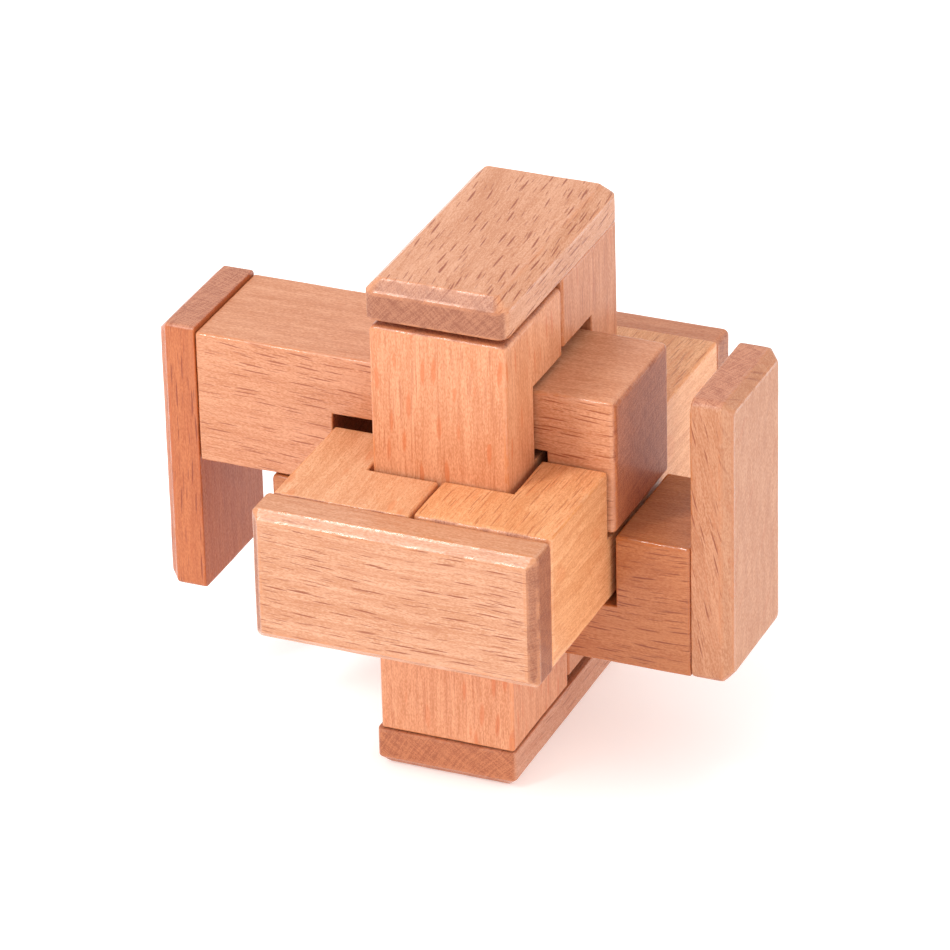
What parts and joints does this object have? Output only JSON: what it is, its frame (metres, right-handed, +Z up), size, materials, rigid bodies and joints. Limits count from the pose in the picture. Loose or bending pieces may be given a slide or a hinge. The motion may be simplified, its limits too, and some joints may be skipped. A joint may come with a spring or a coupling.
{
  "type": "wooden burr puzzle",
  "caption": "Six-piece interlocking wooden burr with a plate glued on one end of each bar; the key bar slides out to unlock it.",
  "frame": {"origin": "middle of the bottom plate's underside, which the puzzle stands on", "axes": "+Z up along the two upright bars, +X along the cross bars with the key's plate at -X, +Y towards the back along the depth bars"},
  "size_m": [0.084, 0.0736, 0.0743],
  "materials": {
    "bar_wood": "lacquered beech, satin",
    "plate_wood": "lacquered beech, satin"
  },
  "bodies": {
    "locked_bars": {"front_upright_bar": "bar_wood", "rear_upright_bar": "bar_wood", "lower_cross_bar": "bar_wood", "left_depth_bar": "bar_wood", "right_depth_bar": "bar_wood", "bottom_plate": "plate_wood", "top_plate": "plate_wood", "right_plate": "plate_wood", "front_plate": "plate_wood", "back_plate": "plate_wood"},
    "key": {"key_bar": "bar_wood", "left_plate": "plate_wood"}
  },
  "joints": [
    {"name": "key_slide", "type": "slide", "parent": "locked_bars", "child": "key", "axis": [1, 0, 0], "range_m": [0, 0.01]}
  ]
}
